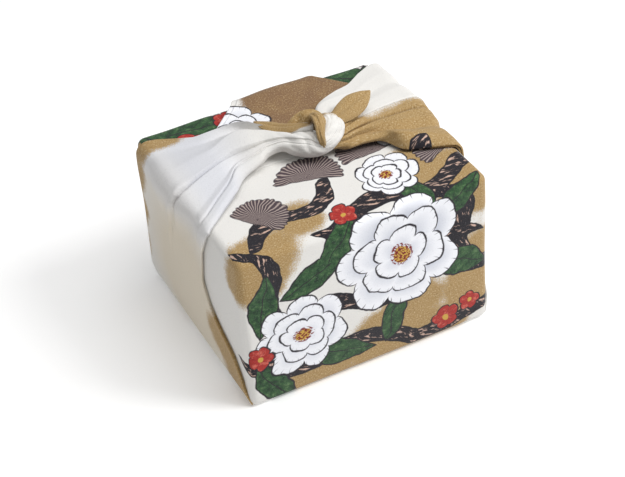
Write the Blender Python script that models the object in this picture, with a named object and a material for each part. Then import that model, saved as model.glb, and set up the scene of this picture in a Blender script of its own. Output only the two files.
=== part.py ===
"""A furoshiki wrap: one square of cotton folded round a box-shaped space and tied on top.

The cloth lies corner to corner under the space. Its back corner comes over the top first and is
the lid of the body, its front corner lies over that with its tip past the back edge, and its left
and right corners climb the sides, gather into pleats over the top and meet in a reef knot.
All of it is one cloth, so all of it is one solid. Metres, +Z up, front at -Y, origin under the
middle of the flat base.
"""

import bmesh
import bpy
import numpy as np

# Driving sizes.
CLOTH_SIDE = 0.680
SPACE_WIDTH = 0.220
SPACE_DEPTH = 0.200
SPACE_HEIGHT = 0.147
THICKNESS = 0.0016
EDGE_RADIUS = 0.0065
EDGE_MIDDLE = 0.42  # share of the radius at which a rounded edge is cut once more
SWELL = 0.0035
GAP = 0.0007
COTTON_COLOUR = (0.62, 0.52, 0.33, 1.0)

# What follows from them.
HALF = np.array([SPACE_WIDTH, SPACE_DEPTH, SPACE_HEIGHT]) / 2
MIDDLE = np.array([0.0, 0.0, SPACE_HEIGHT / 2])
CORNER_REACH = CLOTH_SIDE / np.sqrt(2)
FRONT_LIFT = GAP + THICKNESS
TIE_LIFT = FRONT_LIFT + GAP

# The tucked corners leave the side walls bare below two lines that rise at this angle, from just
# over the base and this far in from the wall's two edges.
TUCK_ANGLE = np.radians(22.5)
TUCK_START = 0.014
TUCK_INSET = 0.014

# The front flap lies a little right of the middle. It leaves the lid under the tie, between these
# two places in depth.
FLAP_SHIFT = 0.016
FLAP_ROOT = (-0.012, 0.008)
FLAP_MARGIN = 0.003
FLAP_TIP_SHORT = 0.003
FLAP_COLUMNS = 12
SUNK = 0.3  # share of its thickness by which a layer's root is sunk in the one below

# Side flaps: run up the side wall and on over the top, near edge and far edge, in millimetres.
LEFT_EDGES = (
    (0, -99, 98),
    (22, -90, 97),
    (42, -79, 95),
    (56, -63, 93),
    (73, -44, 91),
    (90, -35, 89),
    (120, -39, 86),
    (138, -48, 84),
    (147, -54, 83),
    (158, -46, 79),
    (180, -31, 65),
    (191, -23, 59),
    (205, -15, 51.5),
    (221, -8.5, 42.5),
)
RIGHT_EDGES = (
    (0, -98, 99),
    (22, -93, 95),
    (42, -86, 86),
    (56, -80, 74),
    (73, -72, 60),
    (90, -66, 55),
    (120, -61, 68),
    (138, -57, 80),
    (147, -56, 86),
    (158, -51, 82.5),
    (169, -47, 76),
    (183, -41, 65),
    (205, -29, 46),
    (221, -19.5, 32),
)

# Pleats across each side flap, from its near edge to its far one: a pleat's share of the width,
# and its height in millimetres where it meets the knot.
LEFT_PLEATS = ((0.10, 3.5), (0.29, 3.0), (0.20, 4.0), (0.25, 4.5), (0.16, 2.0))
RIGHT_PLEATS = ((0.23, 8.0), (0.17, 4.0), (0.12, 4.0), (0.22, 3.0), (0.26, 2.0))
PLEAT_FADE = 0.035  # how far down the wall they die away
PLEAT_AT_WALL = 0.3  # shares of a pleat's height at the wall's top, and what it gains by the knot
PLEAT_GAIN = 0.5
PLEAT_ROUNDING = 0.75
FREE_ABOVE = 0.02  # where a flap comes away from the wall
LIFT_AT_KNOT = 0.004

# Ropes of the knot, in millimetres from the middle of the top: centre, half width, half thickness,
# and the way that the flat side faces. A flap's rope runs on from its pleats into the knot.
LEFT_ROPE = (
    (-36, 17, 8.5, 25.5, 5.0, 0.0, -0.1, 1.0),
    (-21, 11, 12.5, 12.0, 5.5, 0.0, -0.2, 1.0),
    (-14, 6.5, 13.5, 8.0, 6.8, 0.0, -0.2, 1.0),
    (0, -3, 12.5, 10.0, 10.2, 0.0, -0.3, 1.0),
    (7, -7.5, 13, 9.5, 9.5, 0.0, -0.5, 1.0),
    (13, -10, 16, 9.0, 7.5, 0.0, -0.8, 1.0),
    (19, -8.5, 20.5, 9.0, 5.5, 0.1, -0.9, 1.0),
    (24.5, -2.5, 25.5, 10.5, 4.5, 0.4, -0.6, 1.0),
    (26, 5.5, 27.5, 8.5, 4.0, 0.5, 0.1, 1.0),
    (24, 13, 23, 6.5, 4.0, 0.4, 0.8, 0.8),
    (18, 16, 13, 6.0, 5.0, 0.1, 1.0, 0.0),
)
RIGHT_ROPE = (
    (36, 5, 11.5, 25.5, 6.5, 0.0, 0.0, 1.0),
    (22, -3, 12.5, 14.0, 7.5, 0.0, -0.6, 1.0),
    (15, -8, 13, 7.0, 6.0, 0.0, -0.9, 0.8),
    (9.5, -14, 16, 3.2, 3.6, 0.0, -1.0, 0.3),
    (8, -13, 25, 3.8, 3.4, 0.0, -0.9, 0.6),
    (10.5, -7, 31, 4.8, 3.2, 0.1, -0.5, 1.0),
    (14, 3, 33, 6.0, 3.2, 0.0, -0.1, 1.0),
    (16, 12, 31.5, 6.8, 3.2, -0.1, -0.2, 1.0),
    (11, 18, 28, 8.5, 2.6, -0.3, -0.6, 0.7),
    (3, 20, 22, 9.0, 2.2, -0.3, -0.7, 0.6),
    (-5, 18, 16.5, 7.0, 2.6, -0.3, -0.6, 0.6),
    (-10, 13, 12, 4.0, 3.0, -0.2, -0.5, 0.8),
)
LEFT_TAIL = (
    (10, 6, 21, 5.0, 4.5, 0.0, 0.0, 1.0),
    (2, 9, 22, 5.0, 3.5, -0.1, 0.0, 1.0),
    (-6, 14, 21, 5.0, 2.8, -0.1, -0.2, 1.0),
    (-13, 22, 19, 5.6, 2.2, -0.1, -0.3, 1.0),
    (-19, 32, 18, 5.0, 1.8, -0.1, -0.3, 1.0),
    (-25, 44, 17, 1.2, 0.9, -0.1, -0.3, 1.0),
)
RIGHT_TAIL = (
    (22, 8, 19, 6.0, 4.5, 0.0, 0.0, 1.0),
    (32, 6, 22, 7.5, 3.2, 0.0, -0.3, 1.0),
    (42, 8, 24, 9.8, 2.4, 0.0, -0.4, 1.0),
    (53, 12, 26, 10.0, 2.0, 0.0, -0.4, 1.0),
    (63, 16, 27, 6.0, 1.6, 0.0, -0.4, 1.0),
    (70, 19, 27.5, 1.2, 0.9, 0.0, -0.4, 1.0),
)

ROPE_RIDGES = 20.0  # how much a metre of pleat adds to a rope, in half thicknesses

# Fineness of the swept flaps.
WALL_ROWS = 7
TOP_ROWS = 6
ROPE_ROWS_PER_SPAN = 2
POINTS_PER_PLEAT = 3
TAIL_POINTS = 7


def swell(points):
    """How far the walls stand out between their edges."""
    share = 1 - ((points - MIDDLE) / HALF) ** 2
    height = points[..., 2] / SPACE_HEIGHT
    low_heavy = 1.25 - 0.5 * height
    return SWELL * low_heavy * share[..., 2] * (share[..., 0] + share[..., 1])


def laid(points, lift):
    """Points of the sharp-edged space, moved onto its rounded form and out from it by lift."""
    inside = HALF - EDGE_RADIUS
    core = np.clip(points - MIDDLE, -inside, inside)
    outward = points - MIDDLE - core
    outward /= np.linalg.norm(outward, axis=-1, keepdims=True)
    reach = EDGE_RADIUS + lift + swell(points)
    return MIDDLE + core + outward * np.asarray(reach)[..., None]


def smooth(value):
    value = np.clip(value, 0.0, 1.0)
    return value * value * (3 - 2 * value)


def through(table, places, scale=0.001):
    """A smooth curve through a table's rows, read at places, where 0 is its first row."""
    rows = np.array(table, float) * scale
    first = np.clip(np.floor(places).astype(int), 0, len(rows) - 2)
    step = (places - first)[:, None]
    before, start = rows[np.maximum(first - 1, 0)], rows[first]
    end, after = rows[first + 1], rows[np.minimum(first + 2, len(rows) - 1)]
    return 0.5 * (
        2 * start
        + (end - before) * step
        + (2 * before - 5 * start + 4 * end - after) * step**2
        + (3 * start - before - 3 * end + after) * step**3
    )


def new_object(name, mesh):
    obj = bpy.data.objects.new(name, mesh)
    bpy.context.scene.collection.objects.link(obj)
    return obj


def swept(name, loops):
    """A closed solid through a row of closed loops, with its two ends filled."""
    mesh = bmesh.new()
    rings = [[mesh.verts.new(point) for point in loop] for loop in loops]
    for ring, after in zip(rings, rings[1:]):
        for i in range(len(ring)):
            j = (i + 1) % len(ring)
            mesh.faces.new((ring[i], ring[j], after[j], after[i]))
    mesh.faces.new(rings[0])
    mesh.faces.new(rings[-1])
    bmesh.ops.triangulate(mesh, faces=mesh.faces)
    bmesh.ops.recalc_face_normals(mesh, faces=mesh.faces)
    data = bpy.data.meshes.new(name)
    mesh.to_mesh(data)
    mesh.free()
    return new_object(name, data)


def grid_places(half):
    """Where the body's mesh is cut along one axis: closely over the rounded edges."""
    rounding = [half - EDGE_RADIUS, half - EDGE_MIDDLE * EDGE_RADIUS]
    flat = np.linspace(-rounding[0], rounding[0], 6)
    return sorted([-rounding[1], *flat, rounding[1]])


def cut(mesh, faces, point, normal):
    edges = {edge for face in faces for edge in face.edges}
    verts = {vertex for face in faces for vertex in face.verts}
    geometry = [*verts, *edges, *faces]
    bmesh.ops.bisect_plane(mesh, geom=geometry, plane_co=point, plane_no=normal)


def side_walls(mesh):
    """The flat part of the two side walls, inside their rounded edges."""
    inner = HALF - EDGE_RADIUS
    faces = []
    for face in mesh.faces:
        x, y, z = np.abs(np.array(face.calc_center_median()) - MIDDLE)
        if x > inner[0] and y < inner[1] and z < inner[2]:
            faces.append(face)
    return faces


def tuck_height(depth):
    """How high the bare triangle of a side wall reaches, this far from its middle."""
    return TUCK_START + (HALF[1] - TUCK_INSET - abs(depth)) * np.tan(TUCK_ANGLE)


def body():
    """Base, front and back walls, the tucked side walls, and the back corner as the lid."""
    mesh = bmesh.new()
    bmesh.ops.create_cube(mesh, size=2)
    bmesh.ops.scale(mesh, vec=HALF, verts=mesh.verts)
    bmesh.ops.translate(mesh, vec=MIDDLE, verts=mesh.verts)
    for axis in range(3):
        normal = np.eye(3)[axis]
        for place in grid_places(HALF[axis]):
            cut(mesh, mesh.faces, MIDDLE + normal * place, normal)
    for side in (-1, 1):
        corner = (0, side * (HALF[1] - TUCK_INSET), TUCK_START)
        slope = (0, side * np.sin(TUCK_ANGLE), np.cos(TUCK_ANGLE))
        cut(mesh, side_walls(mesh), corner, slope)
    cut(mesh, side_walls(mesh), (0, 0, TUCK_START), (0, 0, 1))
    bare = []
    for face in side_walls(mesh):
        x, y, z = face.calc_center_median()
        if TUCK_START < z < tuck_height(y):
            bare.append(face)
    bmesh.ops.delete(mesh, geom=bare, context="FACES")
    flat = np.array([vertex.co for vertex in mesh.verts])
    for vertex, point in zip(mesh.verts, laid(flat, np.zeros(len(flat)))):
        vertex.co = point
    bmesh.ops.triangulate(mesh, faces=mesh.faces)
    data = bpy.data.meshes.new("furoshiki_cloth")
    mesh.to_mesh(data)
    mesh.free()
    cloth = new_object("furoshiki_cloth", data)
    wall = cloth.modifiers.new("thickness", "SOLIDIFY")
    wall.thickness = THICKNESS
    wall.offset = -1
    return cloth


def front_flap():
    """The front corner: out of the lid under the tie, on over it, its tip down past the back edge."""
    to_front_edge = HALF[1] + SPACE_HEIGHT
    drop = CORNER_REACH - to_front_edge - SPACE_DEPTH
    root, free = (HALF[1] + place for place in FLAP_ROOT)
    bend, end = SPACE_DEPTH - EDGE_RADIUS, SPACE_DEPTH + EDGE_RADIUS
    runs = [
        *np.linspace(root, free, 5)[:-1],
        *np.linspace(free, bend, 9)[:-1],
        *np.linspace(bend, end, 7)[:-1],
        *np.linspace(end, SPACE_DEPTH + drop - FLAP_TIP_SHORT, 4),
    ]
    across = np.linspace(0, 1, FLAP_COLUMNS)
    loops = []
    for run in runs:
        half = CORNER_REACH - to_front_edge - run
        shift = FLAP_SHIFT * smooth(run / SPACE_DEPTH)
        limit = HALF[0] - FLAP_MARGIN
        left, right = max(shift - half, -limit), min(shift + half, limit)
        points = np.zeros((FLAP_COLUMNS, 3))
        points[:, 0] = left + (right - left) * across
        points[:, 1] = min(run - HALF[1], HALF[1])
        points[:, 2] = SPACE_HEIGHT - max(run - SPACE_DEPTH, 0)
        rise = smooth((run - root) / (free - root))
        over = rise * FRONT_LIFT - (1 - rise) * SUNK * THICKNESS
        under = over - THICKNESS * (0.4 + 0.6 * rise)
        loops.append(np.vstack([laid(points, over), laid(points, under)[::-1]]))
    return swept("front_flap", loops)


def pleat_columns(pleats):
    """Places across a flap, 0 to 1, with the same few in each pleat."""
    shares = np.cumsum([0, *[share for share, height in pleats]])
    steps = np.arange(len(pleats) * POINTS_PER_PLEAT + 1) / POINTS_PER_PLEAT
    return np.interp(steps, range(len(shares)), shares / shares[-1]), steps


def ridge_heights(pleats, steps):
    """Height over a flap at each of its columns: round ridges that meet in sharp valleys."""
    found = np.minimum(steps.astype(int), len(pleats) - 1)
    heights = np.array([height for share, height in pleats])[found] * 0.001
    return heights * np.sin(np.pi * (steps - found)) ** PLEAT_ROUNDING


class Rope:
    """A rope's centre line, its two half sizes and the directions of its section."""

    def __init__(self, table, side):
        places = np.arange((len(table) - 1) * ROPE_ROWS_PER_SPAN + 1) / ROPE_ROWS_PER_SPAN
        values = through(table, places)
        self.centre = values[:, 0:3] + np.array([0, 0, SPACE_HEIGHT])
        self.wide, self.thick = values[:, 3], values[:, 4]
        along = unit(np.gradient(self.centre, axis=0))
        face = values[:, 5:8]
        face = unit(face - along * np.sum(face * along, axis=1, keepdims=True))
        self.face = face
        self.across = np.cross(face, along) * -side

    def loop(self, row, across, ridges=0.0):
        """The rope's section at one row, begun at its near edge, with its columns as given."""
        angle = np.pi * (1 - across)[:, None]
        sideways = np.cos(angle) * self.across[row] * self.wide[row]
        rise = np.sin(angle) * self.face[row] * self.thick[row]
        crest = 1 + ROPE_RIDGES * np.reshape(ridges, (-1, 1))
        over = self.centre[row] + sideways + rise * crest
        under = self.centre[row] + sideways - rise
        return np.vstack([over, under[::-1][1:-1]])


def unit(vectors):
    return vectors / np.linalg.norm(vectors, axis=-1, keepdims=True)


def sheet_loop(points, lift, ridges):
    """A section of a flap that lies over the body, begun at its near edge."""
    over = laid(points, lift + ridges + THICKNESS)
    under = laid(points, lift + 0.6 * ridges)
    return np.vstack([over, under[::-1][1:-1]])


def flap_rows(top_run):
    """Distances up a side wall and on over the top, close together round the edge between them."""
    wall = np.linspace(0.0015, SPACE_HEIGHT - EDGE_RADIUS, WALL_ROWS)
    bend = SPACE_HEIGHT + EDGE_RADIUS * np.array([-0.5, 0.0, 0.5])
    top = np.linspace(SPACE_HEIGHT + EDGE_RADIUS, SPACE_HEIGHT + top_run, TOP_ROWS)
    return [*wall, *bend, *top[:-1]]


def side_flap(name, side, edges, pleats, rope_table):
    """The left (-1) or right (1) corner: up its side wall, over the top in pleats, into its rope."""
    across, steps = pleat_columns(pleats)
    ridges = ridge_heights(pleats, steps)
    rope = Rope(rope_table, side)
    root = rope.loop(0, across, ridges)
    top_run = HALF[0] - abs(rope.centre[0, 0])
    table = np.array(edges, float) * 0.001
    loops = []
    for run in flap_rows(top_run):
        height = min(run, SPACE_HEIGHT)
        share = (run - height) / top_run
        near, far = (np.interp(run, table[:, 0], table[:, i]) for i in (1, 2))
        points = np.full((len(across), 3), (side * (HALF[0] - share * top_run), 0, height))
        points[:, 1] = near + (far - near) * across
        free = smooth(height / FREE_ABOVE)
        lift = free * GAP - (1 - free) * 2 * SUNK * THICKNESS
        lift = lift + TIE_LIFT * smooth(2 * height / SPACE_HEIGHT - 1)
        at_wall = smooth((height - SPACE_HEIGHT + PLEAT_FADE) / PLEAT_FADE)
        grown = PLEAT_AT_WALL * at_wall + PLEAT_GAIN * share
        spread = sheet_loop(points, lift + LIFT_AT_KNOT * smooth(share), grown * ridges)
        blend = smooth((share - 0.35) / 0.65)
        loops.append(spread * (1 - blend) + root * blend)
    loops += [rope.loop(row, across, ridges) for row in range(len(rope.centre))]
    return swept(name, loops)


def tail(name, side, table):
    """A free end: a thin leaf that narrows to its tip."""
    across = np.linspace(0, 1, TAIL_POINTS)
    rope = Rope(table, side)
    return swept(name, [rope.loop(row, across) for row in range(len(rope.centre))])


def joined(cloth, others):
    for other in others:
        other.hide_render = True
        other.display_type = "WIRE"
        union = cloth.modifiers.new(other.name, "BOOLEAN")
        union.operation = "UNION"
        union.object = other


def cotton():
    material = bpy.data.materials.new("printed_cotton")
    material.use_nodes = True
    surface = material.node_tree.nodes["Principled BSDF"]
    surface.inputs["Base Color"].default_value = COTTON_COLOUR
    surface.inputs["Roughness"].default_value = 0.85
    surface.inputs["Metallic"].default_value = 0.0
    return material


def main():
    for obj in list(bpy.data.objects):
        bpy.data.objects.remove(obj)
    cloth = body()
    flaps = [
        front_flap(),
        side_flap("left_flap", -1, LEFT_EDGES, LEFT_PLEATS, LEFT_ROPE),
        side_flap("right_flap", 1, RIGHT_EDGES, RIGHT_PLEATS, RIGHT_ROPE),
        tail("left_tail", -1, LEFT_TAIL),
        tail("right_tail", 1, RIGHT_TAIL),
    ]
    joined(cloth, flaps)
    cloth.data.materials.append(cotton())


main()
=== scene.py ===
import math

import bmesh
import bpy
import numpy as np
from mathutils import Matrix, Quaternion, Vector, noise


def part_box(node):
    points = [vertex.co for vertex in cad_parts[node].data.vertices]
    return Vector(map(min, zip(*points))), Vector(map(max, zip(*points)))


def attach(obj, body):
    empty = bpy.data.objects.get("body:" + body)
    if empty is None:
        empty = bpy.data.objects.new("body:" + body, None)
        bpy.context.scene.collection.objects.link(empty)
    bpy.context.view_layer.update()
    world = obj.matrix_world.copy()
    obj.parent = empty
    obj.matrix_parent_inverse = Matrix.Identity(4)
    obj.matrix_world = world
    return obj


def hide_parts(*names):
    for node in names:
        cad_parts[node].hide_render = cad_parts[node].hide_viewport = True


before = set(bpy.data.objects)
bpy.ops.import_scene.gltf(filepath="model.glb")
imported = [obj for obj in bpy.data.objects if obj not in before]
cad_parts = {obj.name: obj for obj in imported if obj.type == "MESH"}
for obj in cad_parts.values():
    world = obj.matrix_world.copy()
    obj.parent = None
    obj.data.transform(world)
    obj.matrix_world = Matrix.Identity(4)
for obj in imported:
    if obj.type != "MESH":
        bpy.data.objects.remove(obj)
scene = bpy.context.scene
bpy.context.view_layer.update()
clothLow, clothHigh = map(np.array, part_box("furoshiki_cloth"))
print("frame loaded")

# The cloth and the box-shaped space that it wraps, in metres
cloth = {
    "side": 0.68,
    "thickness": 0.0012,
    "edgeRadius": 0.0065,
    "swell": 0.0035,  # how far a wall stands out at its middle
    "swellAtBase": 1.25,  # it is more than that low down and less high up
    "swellLostByTop": 0.5,
    "gap": 0.0008,  # between one layer and the next
    "tieStandsProud": 0.00716,  # what the side flaps add at each side
    "wallStandsProud": 0.00384,  # what the swell adds at front and back
    "knotHeight": 0.0364,
    "unevenness": 0.0009,
    "evenBelow": 0.002,  # the base is flat, and the unevenness starts over it
    "unevenWithin": 0.02,
    "weld": 0.00002,
}
millimetre = 0.001
reach = cloth["side"] / math.sqrt(2)  # from the cloth's middle to a corner
standsProud = np.array([cloth["tieStandsProud"], cloth["wallStandsProud"], 0])
spaceSize = clothHigh - clothLow - 2 * standsProud
spaceSize[2] = clothHigh[2] - cloth["knotHeight"]
half = spaceSize / 2
middle = np.array([0, 0, half[2]])
top = spaceSize[2]
thickness = cloth["thickness"]
frontLift = cloth["gap"] + thickness
tieLift = frontLift + cloth["gap"]


def smooth(value):
    value = np.clip(value, 0.0, 1.0)
    return value * value * (3 - 2 * value)


# 1 where the value is 0, and next to nothing two widths away
def bell(value, width):
    return np.exp(-((value / width) ** 2))


def unit(vectors):
    return vectors / np.linalg.norm(vectors, axis=-1, keepdims=True)


def swell(points):
    share = 1 - np.clip(np.abs((points - middle) / half), 0, 1) ** 2
    lowHeavy = cloth["swellAtBase"] - cloth["swellLostByTop"] * points[:, 2] / top
    return cloth["swell"] * lowHeavy * share[:, 2] * (share[:, 0] + share[:, 1])


# Slow, shallow hollows and humps, the same for every layer in one place
def uneven(points, size=0.045, seed=0.0):
    shift = Vector((seed, seed * 0.7, 3.1))
    return np.array([noise.noise(Vector(point) / size + shift) for point in points.tolist()])


# Points of the sharp-edged space, moved onto its rounded form and out from it by lift
def laid(points, lift, radius=cloth["edgeRadius"]):
    inside = half - radius
    core = np.clip(points - middle, -inside, inside)
    outward = unit(points - middle - core)
    overBase = smooth((points[:, 2] - cloth["evenBelow"]) / cloth["unevenWithin"])
    rough = cloth["unevenness"] * uneven(points) * overBase
    away = radius + lift + swell(points) + rough
    return middle + core + outward * away[:, None]


# A smooth curve through a table's rows, read at places, where 0 is its first row
def through(rows, places):
    rows = np.array(rows, float)
    first = np.clip(np.floor(places).astype(int), 0, len(rows) - 2)
    step = (places - first)[:, None]
    before, start = rows[np.maximum(first - 1, 0)], rows[first]
    end, after = rows[first + 1], rows[np.minimum(first + 2, len(rows) - 1)]
    return 0.5 * (
        2 * start
        + (end - before) * step
        + (2 * before - 5 * start + 4 * end - after) * step**2
        + (3 * start - before - 3 * end + after) * step**3
    )


# A grid whose corners' shares of the way across and along are turned into places by a function,
# with the flat cloth's own coordinates as its UV map
def addSheet(mesh, columns, rows, shape):
    before = len(mesh.faces)
    verts = bmesh.ops.create_grid(mesh, x_segments=columns, y_segments=rows, size=0.5)["verts"]
    shares = np.array([vert.co[:2] for vert in verts]) + 0.5
    places, flat = shape(np.round(shares[:, 0], 6), np.round(shares[:, 1], 6))
    uvOf = {}
    for vert, place, spot in zip(verts, places.tolist(), flat.tolist()):
        vert.co = place
        uvOf[vert] = spot
    layer = mesh.loops.layers.uv.get("cloth") or mesh.loops.layers.uv.new("cloth")
    mesh.faces.ensure_lookup_table()
    for face in mesh.faces[before:]:
        for loop in face.loops:
            loop[layer].uv = uvOf[loop.vert]


def closeUp(mesh):
    bmesh.ops.remove_doubles(mesh, verts=mesh.verts, dist=cloth["weld"])
    bmesh.ops.recalc_face_normals(mesh, faces=mesh.faces)


# Base, walls and lid: one sheet with the front corner's and the back corner's wraps on its sides
body = {
    "spacing": 0.0045,  # mesh size on the flat
    "edgeCuts": 4,  # rows round each rounded edge
    "tuckAngle": math.radians(22.5),
    "tuckStart": 0.014,
    "tuckInset": 0.014,
    "tuckSeam": 0.25,  # share of the half depth at which the front corner's tuck ends
    "wallDepth": 0.003,  # a side wall's faces lie less than this inside it
    "lidSeam": 0.006,  # under the tie: the front corner's cloth before it, the back corner's after
}


# The front corner lies a little to the right, more so towards the back edge
def flapShift(run):
    return frontFlap["shift"] * smooth(run / spaceSize[1])


def edgeSpaced(share, size):
    # even steps on the flat, closer ones round both edges
    cuts, radius = body["edgeCuts"], cloth["edgeRadius"]
    flatSteps = round((size - 2 * radius) / body["spacing"])
    marks = [radius * i / cuts for i in range(cuts)]
    flat = np.linspace(radius, size - radius, flatSteps + 1)
    places = np.array([*marks, *flat, *[size - mark for mark in reversed(marks)]])
    return np.interp(share, np.linspace(0, 1, len(places)), places), len(places) - 1


def bodyPanel(mesh, name):
    wide, deep, tall = spaceSize
    first = deep if name in ("left", "right") else wide
    second = deep if name in ("base", "lid") else tall

    def shape(across, along):
        a, b = edgeSpaced(across, first)[0], edgeSpaced(along, second)[0]
        points = np.zeros((len(a), 3))
        if name in ("base", "lid"):
            points[:, 0], points[:, 1] = a - half[0], b - half[1]
            points[:, 2] = top if name == "lid" else 0
            flat = np.stack([points[:, 0], points[:, 1]], axis=1)
            if name == "lid":
                fore = points[:, 1] < body["lidSeam"]
                flat[:, 0] -= np.where(fore, flapShift(b), 0)
                flat[:, 1] = np.where(fore, -(half[1] + top + b), half[1] + top + deep - b)
        elif name in ("front", "back"):
            side = -1 if name == "front" else 1
            points[:, 0], points[:, 1], points[:, 2] = a - half[0], side * half[1], b
            flat = np.stack([points[:, 0], side * (half[1] + b)], axis=1)
        else:
            side = -1 if name == "left" else 1
            points[:, 0], points[:, 1], points[:, 2] = side * half[0], a - half[1], b
            fore = points[:, 1] < body["tuckSeam"] * half[1]
            wrap = np.where(fore, a, deep - a)
            corner = np.where(fore, -1, 1)
            flat = np.stack([side * (half[0] + wrap), corner * (half[1] + b)], axis=1)
        return laid(points, np.zeros(len(a))), flat

    columns, rows = edgeSpaced(0, first)[1], edgeSpaced(0, second)[1]
    addSheet(mesh, columns, rows, shape)


def makeBody():
    mesh = bmesh.new()
    for name in ("base", "lid", "front", "back", "left", "right"):
        bodyPanel(mesh, name)
    closeUp(mesh)
    slope = math.tan(body["tuckAngle"])
    bare = []
    for face in mesh.faces:
        x, y, z = face.calc_center_median()
        rise = body["tuckStart"] + (half[1] - body["tuckInset"] - abs(y)) * slope
        if abs(x) > half[0] - body["wallDepth"] and body["tuckStart"] < z < rise:
            bare.append(face)
    bmesh.ops.delete(mesh, geom=bare, context="FACES")
    bmesh.ops.solidify(mesh, geom=mesh.faces[:], thickness=thickness)
    return mesh


# Front corner: over the lid from under the tie, its tip down past the back edge
frontFlap = {
    "shift": 0.016,
    "root": (0.004, 0.020),  # it rises out of the lid between these, hidden by the tie
    "sunk": 0.3,  # share of the thickness by which its root is sunk
    "tipShort": 0.002,
    "margin": 0.003,
    "columns": 72,
    "rows": 56,
    "hemLift": 0.0014,
    "hemLeast": 0.6,
    "hemWidth": 0.006,
    "hemWave": 0.03,  # size of the hem's humps
    "hemSeed": 5,
    "backRise": 0.0035,  # folds of the lid under it raise it at the back edge
    "backRiseAt": 0.015,
    "backRiseWide": 0.045,
    "backRiseLong": 0.03,
}


def makeFrontFlap():
    drop = reach - half[1] - top - spaceSize[1]
    start, free = (half[1] + place for place in frontFlap["root"])
    stop = spaceSize[1] + drop - frontFlap["tipShort"]

    def shape(across, along):
        run = start + (stop - start) * along
        widest = reach - half[1] - top - run
        shift = flapShift(run)
        limit = half[0] - frontFlap["margin"]
        left, right = np.maximum(shift - widest, -limit), np.minimum(shift + widest, limit)
        points = np.zeros((len(run), 3))
        points[:, 0] = left + (right - left) * across
        points[:, 1] = np.minimum(run - half[1], half[1])
        points[:, 2] = top - np.maximum(run - spaceSize[1], 0)
        flat = np.stack([points[:, 0] - shift, -(half[1] + top + run)], axis=1)
        rise = smooth((run - start) / (free - start))
        lift = rise * frontLift - (1 - rise) * frontFlap["sunk"] * thickness
        hem = np.minimum(points[:, 0] - left, right - points[:, 0])
        hemmed = rise * np.exp(-hem / frontFlap["hemWidth"])
        humps = uneven(points, frontFlap["hemWave"], frontFlap["hemSeed"])
        lift = lift + frontFlap["hemLift"] * hemmed * (frontFlap["hemLeast"] + humps)
        behind = bell(run - spaceSize[1], frontFlap["backRiseLong"])
        behind = behind * bell(points[:, 0] - frontFlap["backRiseAt"], frontFlap["backRiseWide"])
        lift = lift + frontFlap["backRise"] * behind
        return laid(points, lift), flat

    mesh = bmesh.new()
    addSheet(mesh, frontFlap["columns"], frontFlap["rows"], shape)
    closeUp(mesh)
    bmesh.ops.solidify(mesh, geom=mesh.faces[:], thickness=-thickness)
    return mesh


# Back corner: its cloth runs on under the front corner's, inside the lid
backFlap = {"root": 0.092, "tipShort": 0.006, "margin": 0.006, "columns": 30, "rows": 26}


def makeBackFlap():
    def shape(across, along):
        run = backFlap["root"] + (spaceSize[1] - backFlap["tipShort"] - backFlap["root"]) * along
        wide = np.minimum(reach - half[1] - top - run, half[0] - backFlap["margin"])
        points = np.stack([wide * (2 * across - 1), half[1] - run, np.full(len(run), top)], axis=1)
        flat = np.stack([points[:, 0], half[1] + top + run], axis=1)
        return laid(points, np.full(len(run), -thickness - cloth["gap"])), flat

    mesh = bmesh.new()
    addSheet(mesh, backFlap["columns"], backFlap["rows"], shape)
    bmesh.ops.solidify(mesh, geom=mesh.faces[:], thickness=thickness)
    bmesh.ops.recalc_face_normals(mesh, faces=mesh.faces)
    return mesh


# Over and back under, with neither edge said twice
def around(over, under):
    return np.concatenate([over, under[::-1][1:-1]])


# A closed sweep through rows of loops, with its ends filled
def sweep(loops, flats):
    mesh = bmesh.new()
    loops, flats = np.array(loops), np.array(flats)
    rows, columns = loops.shape[0], loops.shape[1]
    loops = np.concatenate([loops, loops[:, :1]], axis=1)
    flats = np.concatenate([flats, flats[:, :1]], axis=1)

    def shape(across, along):
        row = np.round(along * (rows - 1)).astype(int)
        column = np.round(across * columns).astype(int)
        return loops[row, column], flats[row, column]

    addSheet(mesh, columns, rows - 1, shape)
    bmesh.ops.remove_doubles(mesh, verts=mesh.verts, dist=cloth["weld"] / 2)
    ends = [edge for edge in mesh.edges if edge.is_boundary]
    bmesh.ops.holes_fill(mesh, edges=ends, sides=0)
    bmesh.ops.recalc_face_normals(mesh, faces=mesh.faces)
    return mesh


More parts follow.
